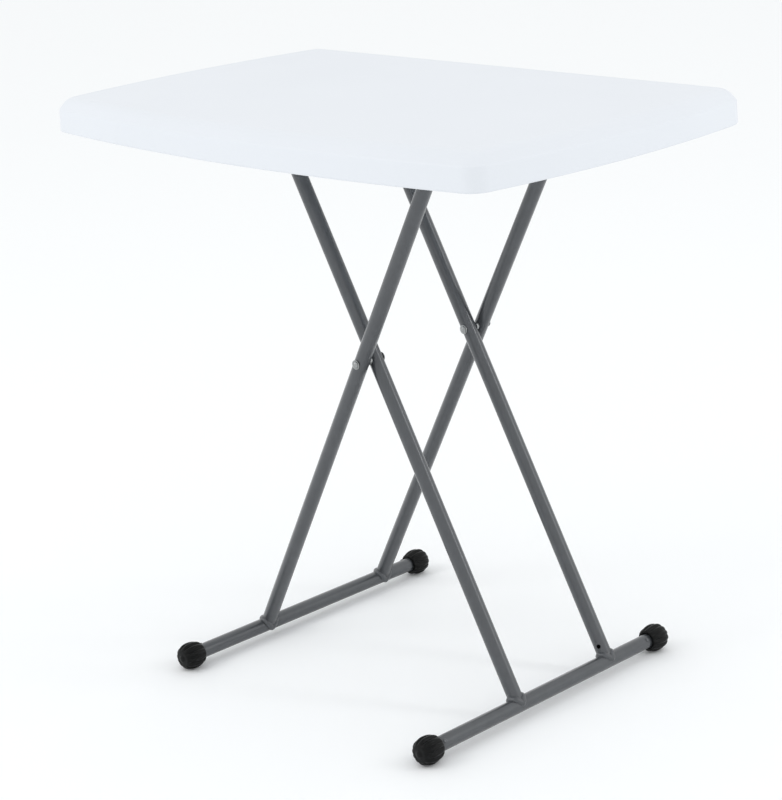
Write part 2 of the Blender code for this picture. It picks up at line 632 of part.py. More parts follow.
def make_foot(frame_name, foot, outward, parent):
    """A foot bar with its two rubber caps and the rivets that stake them."""
    bore = TUBE_RADIUS - TUBE_WALL
    half = CAP_CENTRE + CAP_BORE_DEPTH - GAP
    bar = turned(frame_name + "_foot_bar",
                 [(TUBE_RADIUS, -half), (TUBE_RADIUS, half), (bore, half), (bore, -half)],
                 TUBE_SEGMENTS, closed=True)
    direction = Vector((outward * math.cos(CAP_RIVET_TILT), 0, math.sin(CAP_RIVET_TILT)))
    place = Vector((foot.x, FOOT_Y, foot.z))
    rivet_y = CAP_CENTRE - CAP_RIVET_INSET
    holes = []
    for _, sign in SIDES:
        hole = direction * TUBE_RADIUS + Vector((0, sign * rivet_y, 0))
        holes.append(pin_cutter(hole, CAP_RIVET_RADIUS + BORE_GAP, TUBE_WALL + OVERSHOOT, direction))
    cut(bar, holes)
    put(bar, place, GREY_TUBE, parent)
    for side, sign in SIDES:
        stem = bore - BORE_GAP
        sleeve = TUBE_RADIUS + BORE_GAP
        lip = TUBE_RADIUS + CAP_LIP
        profile = [(stem, -CAP_STEM_REACH), (stem, CAP_BORE_DEPTH), (sleeve, CAP_BORE_DEPTH),
                   (sleeve, -CAP_HALF_LENGTH), (lip, -CAP_HALF_LENGTH)]
        for i in range(1, CAP_STEPS):
            angle = math.pi * i / CAP_STEPS
            end = lip + (CAP_END_RADIUS - lip) * i / CAP_STEPS
            along = -math.cos(angle) * (CAP_HALF_LENGTH - GAP)
            profile.append((end + (CAP_RADIUS - end) * math.sin(angle), along))
        profile.append((CAP_END_RADIUS, CAP_HALF_LENGTH))
        cap = turned(f"foot_cap_{frame_name}_{side}",
                     [(radius, sign * (CAP_CENTRE + y)) for radius, y in profile], CAP_SEGMENTS)
        seat = direction * (stem - CAP_RIVET_DEPTH / 2) + Vector((0, sign * rivet_y, 0))
        half = CAP_RIVET_DEPTH / 2 + GAP
        cut(cap, [pin_cutter(seat, CAP_RIVET_RADIUS + BORE_GAP, half, direction)])
        put(cap, place, BLACK_RUBBER, parent)
        rise = TUBE_RADIUS + GAP
        rivet = turned(f"cap_rivet_{frame_name}_{side}",
                       [(CAP_RIVET_RADIUS, stem - CAP_RIVET_DEPTH + GAP), (CAP_RIVET_RADIUS, rise),
                        (CAP_RIVET_HEAD, rise), (CAP_RIVET_HEAD * DOME, rise + CAP_RIVET_RISE)],
                       SCREW_SEGMENTS)
        spin = Vector((0, 1, 0)).rotation_difference(direction).to_matrix().to_4x4()
        rivet.data.transform(Matrix.Translation((0, sign * rivet_y, 0)) @ spin)
        put(rivet, place, ZINC, parent)


# ---------------------------------------------------------------- the crossing rivets
def make_pivots(parent):
    """On each side: a rivet through both legs, a spacer between them and two washers."""
    place = Vector((PIVOT.x, LEG_Y, PIVOT.z))
    bore = RIVET_RADIUS + BORE_GAP
    inner_crown = INNER_HALF_SPACING + TUBE_RADIUS
    outer_crown = OUTER_HALF_SPACING - TUBE_RADIUS
    outer_face = OUTER_HALF_SPACING + TUBE_RADIUS + GAP
    inner_face = INNER_HALF_SPACING - TUBE_RADIUS - GAP
    out_head = outer_face + WASHER_THICKNESS + GAP
    in_head = inner_face - WASHER_THICKNESS - GAP
    rings = [("pivot_spacer_", SPACER_RADIUS, inner_crown + GAP, outer_crown - GAP),
             ("pivot_washer_outer_", WASHER_RADIUS, outer_face, outer_face + WASHER_THICKNESS),
             ("pivot_washer_inner_", WASHER_RADIUS, inner_face - WASHER_THICKNESS, inner_face)]
    for side, sign in SIDES:
        for name, radius, low, high in rings:
            profile = [(bore, low), (radius, low), (radius, high), (bore, high)]
            ring = turned(name + side, [(r, sign * y) for r, y in profile], TUBE_SEGMENTS, closed=True)
            put(ring, place, ZINC, parent)
        domed = RIVET_HEAD_RADIUS * DOME
        edge = RIVET_HEAD_HEIGHT / 3
        profile = [(domed, in_head - RIVET_HEAD_HEIGHT), (RIVET_HEAD_RADIUS, in_head - edge),
                   (RIVET_HEAD_RADIUS, in_head), (RIVET_RADIUS, in_head), (RIVET_RADIUS, out_head),
                   (RIVET_HEAD_RADIUS, out_head), (RIVET_HEAD_RADIUS, out_head + edge),
                   (domed, out_head + RIVET_HEAD_HEIGHT)]
        rivet = turned("pivot_rivet_" + side, [(r, sign * y) for r, y in profile], TUBE_SEGMENTS)
        put(rivet, place, ZINC, parent)


# ---------------------------------------------------------------- assembly
slider_axis = axis_empty("slider_axis", Vector((HINGE.x, LEG_Y, HINGE.z)))
outer_axis = axis_empty("outer_hinge_axis", Vector((HINGE.x, LEG_Y, HINGE.z)), slider_axis)
inner_axis = axis_empty("scissor_axis", Vector((PIVOT.x, LEG_Y, PIVOT.z)), outer_axis)

make_top()
make_screws()
make_rails()
make_racks()
make_slider(slider_axis)
make_outer_legs(outer_axis)
make_foot("outer", OUTER_FOOT, -1, outer_axis)
make_pivots(outer_axis)
make_inner_frame(inner_axis)
make_foot("inner", INNER_FOOT, 1, inner_axis)
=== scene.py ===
"""Looks of the folding tray table: a moulded white top, powder-coated crossed frames and rubber feet.

Every sub-assembly is a class with its sizes as fields.  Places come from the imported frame.
"""
import json
import logging
import math
from dataclasses import dataclass, field
from enum import Enum
from typing import Any, Sequence

import bpy
import numpy as np
from mathutils import Matrix, Vector


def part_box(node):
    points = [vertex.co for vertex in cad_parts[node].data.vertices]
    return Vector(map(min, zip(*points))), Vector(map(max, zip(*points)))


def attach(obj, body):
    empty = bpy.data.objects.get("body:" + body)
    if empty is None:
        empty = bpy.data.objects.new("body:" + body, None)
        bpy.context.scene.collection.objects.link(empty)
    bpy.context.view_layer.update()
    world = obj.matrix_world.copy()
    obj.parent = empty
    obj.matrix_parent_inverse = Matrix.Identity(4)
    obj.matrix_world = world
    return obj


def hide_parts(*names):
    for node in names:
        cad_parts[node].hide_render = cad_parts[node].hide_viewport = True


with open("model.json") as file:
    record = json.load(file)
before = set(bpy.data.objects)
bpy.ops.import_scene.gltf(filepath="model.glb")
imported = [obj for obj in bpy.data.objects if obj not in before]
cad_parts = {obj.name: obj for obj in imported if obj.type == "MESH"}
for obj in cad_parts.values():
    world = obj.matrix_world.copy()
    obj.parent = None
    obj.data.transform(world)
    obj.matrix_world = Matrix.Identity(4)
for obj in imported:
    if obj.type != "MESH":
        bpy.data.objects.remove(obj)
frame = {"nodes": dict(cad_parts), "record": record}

LOG = logging.getLogger("tray_table")
TAU = math.tau
ALONG_X, ALONG_Y, UP = np.eye(3)
SHARP_ANGLE = 40.0       # degrees: edges that turn by more stay sharp


class Body(Enum):
    """The rigid bodies that pieces ride on."""

    TOP = "top"
    SLIDER = "slider"
    OUTER = "outer_frame"
    INNER = "inner_frame"


class Slot(Enum):
    """The record's material slots."""

    PLASTIC = "white_plastic"
    COAT = "grey_powder_coat"
    ZINC = "zinc"
    RUBBER = "black_rubber"
    NYLON = "black_nylon"


# ---------------------------------------------------------------- shader expressions
class Wire:
    """A number-carrying socket whose arithmetic adds Math nodes."""

    def __init__(self, tree: bpy.types.NodeTree, socket: bpy.types.NodeSocket) -> None:
        """Hold a socket and the tree it is in."""
        self.tree = tree
        self.socket = socket

    def math(self, operation: str, first: Any, second: Any) -> "Wire":
        """Add one Math node.

        Args:
            operation: the Math node's operation.
            first: its first value, a number or a Wire.
            second: its second value, a number or a Wire.

        Returns:
            The node's result.
        """
        node = self.tree.nodes.new("ShaderNodeMath")
        node.operation = operation
        for place, value in enumerate((first, second)):
            if isinstance(value, Wire):
                self.tree.links.new(value.socket, node.inputs[place])
            else:
                node.inputs[place].default_value = value
        return Wire(self.tree, node.outputs[0])

    def __add__(self, other: Any) -> "Wire":
        """Sum."""
        return self.math("ADD", self, other)

    __radd__ = __add__

    def __mul__(self, other: Any) -> "Wire":
        """Product."""
        return self.math("MULTIPLY", self, other)

    __rmul__ = __mul__


class Recipe:
    """A material under construction: one Principled shader and the nodes that feed it."""

    def __init__(self, name: str) -> None:
        """Start a material with its Object coordinates at hand.

        Args:
            name: the material's name.
        """
        self.material = bpy.data.materials.new(name)
        self.material.use_nodes = True
        self.tree = self.material.node_tree
        self.shader = self.tree.nodes["Principled BSDF"]
        self.place = self.node("ShaderNodeTexCoord", {}, {}).outputs["Object"]

    def node(self, kind: str, settings: dict[str, Any], inputs: dict[Any, Any]) -> bpy.types.Node:
        """Add a node.

        Args:
            kind: the node's type.
            settings: the node's own attributes, set first.
            inputs: socket name or number to a value, a socket or a Wire.

        Returns:
            The node.
        """
        node = self.tree.nodes.new(kind)
        for key, value in settings.items():
            setattr(node, key, value)
        for key, value in inputs.items():
            self.plug(value, node.inputs[key])
        return node

    def plug(self, value: Any, target: bpy.types.NodeSocket) -> None:
        """Give a socket its value.

        Args:
            value: a Wire or a socket, which is linked, or a plain value, which is set.
            target: the socket to feed.
        """
        if isinstance(value, Wire):
            value = value.socket
        if isinstance(value, bpy.types.NodeSocket):
            self.tree.links.new(value, target)
        else:
            target.default_value = value

    def noise(self, scale: float, detail: float = 2.0, rough: float = 0.5,
              stretch: Sequence[float] = (1, 1, 1)) -> Wire:
        """Fractal noise over the object.

        Args:
            scale: how many blotches to a metre.
            detail: how many finer layers are added.
            rough: how strong the finer layers are.
            stretch: a multiplier of the coordinates along each axis.

        Returns:
            The noise, 0 to 1.
        """
        mapped = self.node("ShaderNodeMapping", {}, {"Vector": self.place, "Scale": stretch})
        inputs = {"Vector": mapped.outputs[0], "Scale": scale, "Detail": detail, "Roughness": rough}
        return Wire(self.tree, self.node("ShaderNodeTexNoise", {}, inputs).outputs[0])

    def cells(self, scale: float) -> Wire:
        """Distance to the nearest cell centre."""
        cells = self.node("ShaderNodeTexVoronoi", {}, {"Vector": self.place, "Scale": scale})
        return Wire(self.tree, cells.outputs["Distance"])

    def band(self, value: Wire, low: float, high: float) -> Wire:
        """A soft step.

        Args:
            value: what the step follows.
            low: the value at which the step is 0.
            high: the value at which it is 1.

        Returns:
            The step.
        """
        inputs = {"Value": value, "From Min": low, "From Max": high}
        node = self.node("ShaderNodeMapRange", {"interpolation_type": "SMOOTHSTEP"}, inputs)
        return Wire(self.tree, node.outputs[0])

    def blend(self, share: Wire, first: Sequence[float], second: Sequence[float]) -> bpy.types.NodeSocket:
        """Mix two colours.

        Args:
            share: how much of the second colour there is, 0 to 1.
            first: the colour at 0.
            second: the colour at 1.

        Returns:
            The mixed colour's socket.
        """
        inputs = {0: share, 6: (*first, 1.0), 7: (*second, 1.0)}
        return self.node("ShaderNodeMix", {"data_type": "RGBA"}, inputs).outputs[2]

    def bump(self, height: Wire, distance: float, strength: float) -> None:
        """Feed the shader's normal from a height, a distance in metres and a strength."""
        inputs = {"Height": height, "Distance": distance, "Strength": strength}
        self.plug(self.node("ShaderNodeBump", {}, inputs).outputs[0], self.shader.inputs["Normal"])

    def feed(self, **sockets: Any) -> None:
        """Set or link the shader's sockets; underscores stand for spaces in their names."""
        for key, value in sockets.items():
            self.plug(value, self.shader.inputs[key.replace("_", " ")])


# ---------------------------------------------------------------- finishes
@dataclass(frozen=True)
class MouldedPlastic:
    """White polyethylene with a fine pebble grain, a little mottled and scuffed."""

    name: str = "white_polyethylene"
    light: tuple[float, float, float] = (0.775, 0.802, 0.842)
    shade: tuple[float, float, float] = (0.742, 0.770, 0.812)

    def build(self) -> bpy.types.Material:
        """Make the material.

        Returns:
            The material.
        """
        recipe = Recipe(self.name)
        cloud = recipe.noise(scale=5.0, detail=3.0)
        pebble = recipe.cells(scale=620.0)
        fine = recipe.noise(scale=1500.0)
        streaks = recipe.noise(scale=38.0, detail=6.0, rough=0.7, stretch=(1.0, 4.0, 1.0))
        scuff = recipe.band(streaks, low=0.60, high=0.80)
        colour = recipe.blend(cloud, self.shade, self.light)
        recipe.feed(Base_Color=colour, Roughness=0.40 + 0.10 * fine + 0.10 * scuff, IOR=1.5,
                    Specular_IOR_Level=0.45)
        recipe.bump(pebble + 0.4 * fine, distance=0.00010, strength=0.35)
        return recipe.material


@dataclass(frozen=True)
class PowderCoat:
    """Dark grey powder coat: satin, with orange peel and faint mottling."""

    name: str = "grey_powder_coat"
    light: tuple[float, float, float] = (0.078, 0.084, 0.092)
    shade: tuple[float, float, float] = (0.048, 0.052, 0.058)

    def build(self) -> bpy.types.Material:
        """Make the material.

        Returns:
            The material.
        """
        recipe = Recipe(self.name)
        mottle = recipe.noise(scale=60.0, detail=4.0, rough=0.6)
        peel = recipe.noise(scale=900.0)
        speck = recipe.band(recipe.noise(scale=2200.0, detail=1.0), low=0.62, high=0.72)
        colour = recipe.blend(mottle * 0.8 + speck * 0.2, self.shade, self.light)
        recipe.feed(Base_Color=colour, Roughness=0.30 + 0.12 * mottle, Metallic=0.30, IOR=1.5,
                    Coat_Weight=0.7, Coat_Roughness=0.12)
        recipe.bump(peel, distance=0.00012, strength=0.30)
        return recipe.material


@dataclass(frozen=True)
class ZincPlate:
    """Bright zinc plating with a soft spangle and handling marks."""

    name: str = "zinc_plate"
    light: tuple[float, float, float] = (0.44, 0.45, 0.45)
    shade: tuple[float, float, float] = (0.26, 0.27, 0.27)

    def build(self) -> bpy.types.Material:
        """Make the material.

        Returns:
            The material.
        """
        recipe = Recipe(self.name)
        spangle = recipe.noise(scale=260.0, detail=3.0)
        drag = recipe.noise(scale=700.0, stretch=(0.15, 1.0, 1.0))
        colour = recipe.blend(spangle, self.shade, self.light)
        recipe.feed(Base_Color=colour, Roughness=0.26 + 0.20 * drag, Metallic=1.0)
        recipe.bump(drag, distance=0.00005, strength=0.20)
        return recipe.material


@dataclass(frozen=True)
class MouldedRubber:
    """Matt black rubber with a fine grain and a trace of dust."""

    name: str = "black_rubber"
    base: tuple[float, float, float] = (0.0025, 0.0028, 0.0028)
    dust: tuple[float, float, float] = (0.011, 0.012, 0.012)

    def build(self) -> bpy.types.Material:
        """Make the material.

        Returns:
            The material.
        """
        recipe = Recipe(self.name)
        dust = recipe.band(recipe.noise(scale=140.0, detail=5.0, rough=0.65), low=0.48, high=0.78)
        grain = recipe.noise(scale=1300.0)
        recipe.feed(Base_Color=recipe.blend(dust * 0.6, self.base, self.dust),
                    Roughness=0.38 + 0.22 * dust, Specular_IOR_Level=0.16)
        recipe.bump(grain, distance=0.00012, strength=0.35)
        return recipe.material


@dataclass(frozen=True)
class MouldedNylon:
    """Black moulded nylon, a little shinier than the rubber."""

    name: str = "black_nylon"
    base: tuple[float, float, float] = (0.020, 0.020, 0.021)
    pale: tuple[float, float, float] = (0.040, 0.040, 0.042)

    def build(self) -> bpy.types.Material:
        """Make the material.

        Returns:
            The material.
        """
        recipe = Recipe(self.name)
        flow = recipe.noise(scale=90.0, detail=3.0, stretch=(1.0, 0.4, 1.0))
        recipe.feed(Base_Color=recipe.blend(flow, self.base, self.pale), Roughness=0.34 + 0.16 * flow)
        recipe.bump(recipe.noise(scale=1100.0), distance=0.00008, strength=0.25)
        return recipe.material


FINISHES: dict[Slot, bpy.types.Material] = {}


def make_finishes() -> None:
    """Build each finish once."""
    recipes = {Slot.PLASTIC: MouldedPlastic(), Slot.COAT: PowderCoat(), Slot.ZINC: ZincPlate(),
               Slot.RUBBER: MouldedRubber(), Slot.NYLON: MouldedNylon()}
    for slot, recipe in recipes.items():
        FINISHES[slot] = recipe.build()


# ---------------------------------------------------------------- meshes from grids
def signed_volume(points: np.ndarray, triangles: np.ndarray) -> float:
    """Six times the volume inside a closed mesh: the sum of each triangle's box product."""
    a, b, c = (points[triangles[:, k]] for k in range(3))
    return float(np.einsum("ij,ij->i", a, np.cross(b, c)).sum())


def place_in_scene(name: str, data: bpy.types.ID) -> bpy.types.Object:
    """Show some data in the scene.

    Args:
        name: the object's name.
        data: a mesh, a lamp or a camera.

    Returns:
        The new object, at the origin.
    """
    obj = bpy.data.objects.new(name, data)
    bpy.context.collection.objects.link(obj)
    return obj


def skin(name: str, grid: np.ndarray, ring: bool = False, sharp: float = SHARP_ANGLE) -> bpy.types.Object:
    """Skin a grid whose rows run along the piece and whose columns close round it.

    Each cell becomes a quad.  A ring joins its last row to its first; otherwise each end is
    closed by a fan to the middle of its row.

    Args:
        name: the object's name.
        grid: points, shaped rows by columns by 3.
        ring: whether the rows close too.
        sharp: edges that turn by more than this many degrees stay sharp.

    Returns:
        The object, at the origin, its faces pointing out.
    """
    rows, columns, _ = grid.shape
    index = np.arange(rows * columns).reshape(rows, columns)
    if ring:
        index = np.vstack([index, index[:1]])
    right = np.roll(index, -1, axis=1)
    quads = np.stack([index[:-1], right[:-1], right[1:], index[1:]], axis=-1).reshape(-1, 4)
    points = grid.reshape(-1, 3)
    fans = np.empty((0, 3), dtype=int)
    if not ring:
        ends = []
        for pole, (row, flip) in enumerate(((0, True), (rows - 1, False))):
            a, b = index[row], right[row]
            hub = np.full(columns, rows * columns + pole)
            ends.append(np.stack([b, a, hub] if flip else [a, b, hub], axis=-1))
        fans = np.vstack(ends)
        points = np.vstack([points, grid[0].mean(axis=0), grid[-1].mean(axis=0)])
    triangles = np.vstack([quads[:, [0, 1, 2]], quads[:, [0, 2, 3]], fans])
    if signed_volume(points, triangles) < 0:
        quads = quads[:, ::-1]
        fans = fans[:, ::-1]
    mesh = bpy.data.meshes.new(name)
    mesh.from_pydata(points.tolist(), [], quads.tolist() + fans.tolist())
    mesh.update()
    mesh.shade_smooth()
    mesh.set_sharp_from_angle(angle=math.radians(sharp))
    return place_in_scene(name, mesh)


def softened(profile: Sequence[Sequence[float]], radius: float, steps: int = 3,
             loop: bool = False) -> np.ndarray:
    """Round a profile's corners: each corner becomes a quadratic curve between points set back from it.

    Args:
        profile: (radius, height) points.
        radius: how far back from each corner its curve starts, at most 45% of either side.
        steps: segments in each curve.
        loop: whether the profile closes.

    Returns:
        The rounded profile as an array of points.
    """
    points = np.asarray(profile, dtype=float)
    before = np.roll(points, 1, axis=0) - points
    after = np.roll(points, -1, axis=0) - points
    lengths = [np.linalg.norm(side, axis=1, keepdims=True) + 1e-12 for side in (before, after)]
    set_back = np.minimum(radius, 0.45 * np.minimum(*lengths))
    start = points + before / lengths[0] * set_back
    stop = points + after / lengths[1] * set_back
    if not loop:
        start[0] = stop[0] = points[0]
        start[-1] = stop[-1] = points[-1]
    t = np.linspace(0.0, 1.0, steps + 1)[None, :, None]
    curve = (1 - t) ** 2 * start[:, None] + 2 * t * (1 - t) * points[:, None] + t ** 2 * stop[:, None]
    flat = curve.reshape(-1, 2)
    keep = np.r_[True, np.linalg.norm(np.diff(flat, axis=0), axis=1) > 1e-9]
    return flat[keep]


def frame_of(axis: Sequence[float]) -> tuple[np.ndarray, np.ndarray, np.ndarray]:
    """A unit axis and two directions square to it.

    Args:
        axis: a direction of any length.

    Returns:
        The unit axis, a level direction across it, and the direction square to both.
    """
    along = np.asarray(axis, dtype=float)
    along = along / np.linalg.norm(along)
    nearly_upright = abs(along[2]) > 0.9
    guide = ALONG_X if nearly_upright else UP
    side = np.cross(guide, along)
    side /= np.linalg.norm(side)
    return along, side, np.cross(along, side)


def turned(name: str, profile: np.ndarray, centre: Sequence[float], axis: Sequence[float],
           columns: int, ring: bool = False) -> bpy.types.Object:
    """Turn a profile about an axis: point(h, angle) = centre + h * axis + r * (cos, sin) across it.

    Args:
        name: the object's name.
        profile: (radius, height) points.
        centre: the point on the axis at height 0.
        axis: the direction of growing height.
        columns: points round the axis.
        ring: whether the profile closes.

    Returns:
        The object.
    """
    along, side, other = frame_of(axis)
    angle = np.linspace(0.0, TAU, columns, endpoint=False)
    spoke = np.cos(angle)[:, None] * side + np.sin(angle)[:, None] * other
    grid = np.asarray(centre) + profile[:, 1, None, None] * along + profile[:, 0, None, None] * spoke[None]
    return skin(name, grid, ring)


def swept(path: np.ndarray, outward: np.ndarray, binormal: np.ndarray, radius: float,
          columns: int) -> np.ndarray:
    """Carry a circle along a plane path: point = path + r * (cos * outward + sin * binormal).

    Args:
        path: points along the path.
        outward: a unit direction across the path at each point, in the path's plane.
        binormal: the unit direction square to the path's plane.
        radius: the circle's radius.
        columns: points round the circle.

    Returns:
        The grid of points, one row per path point.
    """
    angle = np.linspace(0.0, TAU, columns, endpoint=False)
    cosine, sine = (wave[None, :, None] for wave in (np.cos(angle), np.sin(angle)))
    circle = cosine * outward[:, None] + sine * binormal
    return path[:, None] + radius * circle


def drilled(obj: bpy.types.Object, holes: Sequence[bpy.types.Object]) -> bpy.types.Object:
    """Cut holes in a piece, keep the result as its mesh and drop the cutters.

    Args:
        obj: the piece.
        holes: solids to take away from it.

    Returns:
        The piece.
    """
    for hole in holes:
        cut = obj.modifiers.new("hole", "BOOLEAN")
        cut.operation = "DIFFERENCE"
        cut.solver = "EXACT"
        cut.object = hole
    bpy.context.view_layer.update()
    result = bpy.data.meshes.new_from_object(obj.evaluated_get(bpy.context.evaluated_depsgraph_get()))
    obj.modifiers.clear()
    obj.data = result
    for hole in holes:
        bpy.data.objects.remove(hole, do_unlink=True)
    obj.data.shade_smooth()
    obj.data.set_sharp_from_angle(angle=math.radians(SHARP_ANGLE))
    return obj


def settle(obj: bpy.types.Object, body: Body, slot: Slot, *nodes: str) -> bpy.types.Object:
    """Dress a piece, let it ride on its body and stand for its CAD nodes, and report it.

    Args:
        obj: the piece.
        body: the rigid body that it moves with.
        slot: its material slot.
        nodes: the CAD nodes that it replaces.

    Returns:
        The piece.
    """
    obj.data.materials.clear()
    obj.data.materials.append(FINISHES[slot])
    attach(obj, body.value)
    if nodes:
        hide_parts(*nodes)
    LOG.info("%s rides on %s, %d faces", obj.name, body.value, len(obj.data.polygons))
    return obj


def corners_of(node: str) -> np.ndarray:
    """The low and the high corner of a CAD node's box."""
    return np.array([tuple(corner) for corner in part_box(node)])


def middle(node: str) -> np.ndarray:
    """The middle of a CAD node's box."""
    return corners_of(node).mean(axis=0)


def joint_place(name: str) -> np.ndarray:
    """Where one of the record's joints has its axis."""
    joints = frame["record"]["behaviour"]["joints"]
    return next(np.array(joint["pos_m"]) for joint in joints if joint["name"] == name)


# ---------------------------------------------------------------- the moulded top
@dataclass
class TrayTop:
    """The blow-moulded top: bowed outline, rounded edge, hollow rim and a dimpled underside."""

    length: float = 0.760              # over the bowed ends
    depth: float = 0.4525              # between the corners of the long edges
    front_bow: float = 0.029
    back_bow: float = 0.0005
    end_bow: float = 0.0185
    corner: float = 0.028
    skirt: float = 0.042
    deck: float = 0.014
    rim: float = 0.018
    shoulder: float = 0.022            # the soft bend from the flat top into the slope
    slope: float = math.radians(45)
    edge_depth: float = 0.0139         # where the slope would meet the skirt
    edge: float = 0.003                # the tight bend there
    draft: float = 0.001
    rim_round: float = 0.0035
    past_rim: float = 0.02             # a guide point this far inside the rim turns its last bend inward
    flat_margins: tuple[float, float] = (0.0035, 0.001)
    dimple_pitch: float = 0.034
    dimple_radius: float = 0.0085
    dimple_height: float = 0.0062
    dimple_slope: float = 0.62         # the share of a dimple's radius that rises
    row_ratio: float = 0.866           # rows of a triangular grid lie this much closer than its points
    fade_share: float = 0.05           # the dimples grow over this share of the way in from the rim
    side_steps: tuple[int, ...] = (90, 50, 80, 50)
    corner_steps: int = 16
    soft_steps: int = 15
    tight_steps: int = 8
    underside_rows: int = 150
    top_rows: int = 7

    def sides(self) -> tuple[np.ndarray, np.ndarray, np.ndarray]:
        """The outline as arcs.

        Each side is an arc through two corners that bulges by its bow, and each corner is a circle that
        touches both arcs from inside.  An inset then only shortens every radius.

        Returns:
            Arc centres, radii and unit directions, one row per outline point.
        """
        x = self.length / 2 - self.end_bow
        y = self.depth / 2
        corners = np.array(((-x, -y), (x, -y), (x, y), (-x, y)))
        bows = (self.front_bow, self.end_bow, self.back_bow, self.end_bow)
        centres, radii = [], []
        for a, b, bow in zip(corners, np.roll(corners, -1, axis=0), bows):
            chord = b - a
            length = float(np.linalg.norm(chord))
            radius = (length ** 2 / 4 + bow ** 2) / (2 * bow)
            outward = np.array((chord[1], -chord[0])) / length
            centres.append((a + b) / 2 - outward * (radius - bow))
            radii.append(radius)
        sides = range(len(corners))
        fillets = []
        for i in sides:
            fillets.append(self.fillet(centres[i - 1], radii[i - 1], centres[i], radii[i], corners[i]))
        arcs = []
        for i in sides:
            before, after = centres[i - 1], centres[i]
            here, following = fillets[i], fillets[(i + 1) % len(corners)]
            arcs.append((here, self.corner, here - before, here - after, self.corner_steps))
            arcs.append((after, radii[i], here - after, following - after, self.side_steps[i]))
        rows = []
        for centre, radius, start, stop, count in arcs:
            first = math.atan2(start[1], start[0])
            sweep = (math.atan2(stop[1], stop[0]) - first) % TAU
            angle = first + sweep * np.arange(count) / count
            unit = np.stack([np.cos(angle), np.sin(angle)], axis=1)
            rows.append(np.hstack([np.tile(centre, (count, 1)), np.full((count, 1), radius), unit]))
        table = np.vstack(rows)
        return table[:, :2], table[:, 2], table[:, 3:]

    def fillet(self, c1: np.ndarray, r1: float, c2: np.ndarray, r2: float, corner: np.ndarray) -> np.ndarray:
        """The middle of a corner's circle: where two sides' circles, drawn in by its radius, cross.

        Args:
            c1: the middle of the first side's circle.
            r1: its radius.
            c2: the middle of the second side's circle.
            r2: its radius.
            corner: the sharp corner, which the wanted crossing is nearer to.

        Returns:
            The crossing.
        """
        r1, r2 = r1 - self.corner, r2 - self.corner
        apart = c2 - c1
        distance = float(np.linalg.norm(apart))
        along = (r1 ** 2 - r2 ** 2 + distance ** 2) / (2 * distance)
        unit = apart / distance
        across = np.array((-unit[1], unit[0])) * math.sqrt(r1 ** 2 - along ** 2)
        both = (c1 + unit * along + across, c1 + unit * along - across)
        return min(both, key=lambda p: float(np.linalg.norm(p - corner)))

    def section(self) -> np.ndarray:
        """The rim's section, from the flat top to the underside's edge.

        A soft arc leaves the flat top for the slope, and a tight arc leaves the slope for the skirt.

        Returns:
            (inset, depth) points: the inset is measured inward from the outline, the depth from the top.
        """
        crown = self.edge_depth / math.tan(self.slope) + self.shoulder * math.tan(self.slope / 2)
        soft = np.linspace(0.0, self.slope, self.soft_steps)
        tight = np.linspace(self.slope, math.pi / 2, self.tight_steps)
        middle_depth = self.edge_depth + self.edge * math.tan((math.pi / 2 - self.slope) / 2)
        bend = np.stack([crown - self.shoulder * np.sin(soft), self.shoulder * (1 - np.cos(soft))], axis=1)
        nose_inset = self.draft + self.edge * (1 - np.sin(tight))
        nose = np.stack([nose_inset, middle_depth - self.edge * np.cos(tight)], axis=1)
        foot = softened((nose[-1], (0.0, self.skirt), (self.rim, self.skirt), (self.rim, self.deck),
                         (self.rim + self.past_rim, self.deck)), self.rim_round, 5)
        flat = np.array([(crown + margin, 0.0) for margin in self.flat_margins])
        return np.vstack([flat, bend, nose, foot[1:-1]])

    def dimples(self, x: np.ndarray, y: np.ndarray) -> np.ndarray:
        """The dimples pushed up into the underside, at the points of a staggered grid.

        Each rises as the smooth step 3u^2 - 2u^3 of u, which grows from its edge towards its middle.

        Args:
            x: places along the top.
            y: places across it.

        Returns:
            The dimples' height at each place.
        """
        row_pitch = self.dimple_pitch * self.row_ratio
        row = np.round(y / row_pitch)
        shift = np.where(row % 2 == 0, 0.0, self.dimple_pitch / 2)
        column = np.round((x - shift) / self.dimple_pitch)
        away = np.hypot(x - shift - column * self.dimple_pitch, y - row * row_pitch)
        rise = np.clip((self.dimple_radius - away) / (self.dimple_radius * self.dimple_slope), 0.0, 1.0)
        return self.dimple_height * rise * rise * (3 - 2 * rise)

    def build(self) -> None:
        """Skin the top in one closed surface: the flat top, then the rim's section, then the underside.

        The flat top and the underside shrink their outer ring towards the middle in even steps.
        """
        low, high = corners_of("table_top")
        centre_y = low[1] + self.front_bow + self.depth / 2
        centres, radii, units = self.sides()
        section = self.section()
        rings = centres[None] + (radii[None] - section[:, :1])[:, :, None] * units[None]
        edge_ring = centres + (radii - self.rim - self.rim_round)[:, None] * units
        heart = np.array((0.0, float(edge_ring[:, 1].mean())))
        share = np.linspace(1.0, 0.004, self.underside_rows)
        under = heart + share[:, None, None] * (edge_ring - heart)
        fade = np.clip((1.0 - share) / self.fade_share, 0.0, 1.0)[:, None]
        under_depth = self.deck - self.dimples(under[..., 0], under[..., 1]) * fade
        top_share = np.linspace(0.02, 1.0, self.top_rows + 1)[:-1]
        over = heart + top_share[:, None, None] * (rings[0] - heart)
        plan = np.concatenate([over, rings, under])
        rim_depth = np.tile(section[:, 1:], (1, len(radii)))
        depth = np.concatenate([np.zeros(over.shape[:2]), rim_depth, under_depth])
        grid = np.dstack([plan[..., 0], plan[..., 1] + centre_y, high[2] - depth])
        settle(skin("tray_top", grid, sharp=50.0), Body.TOP, Slot.PLASTIC, "table_top")


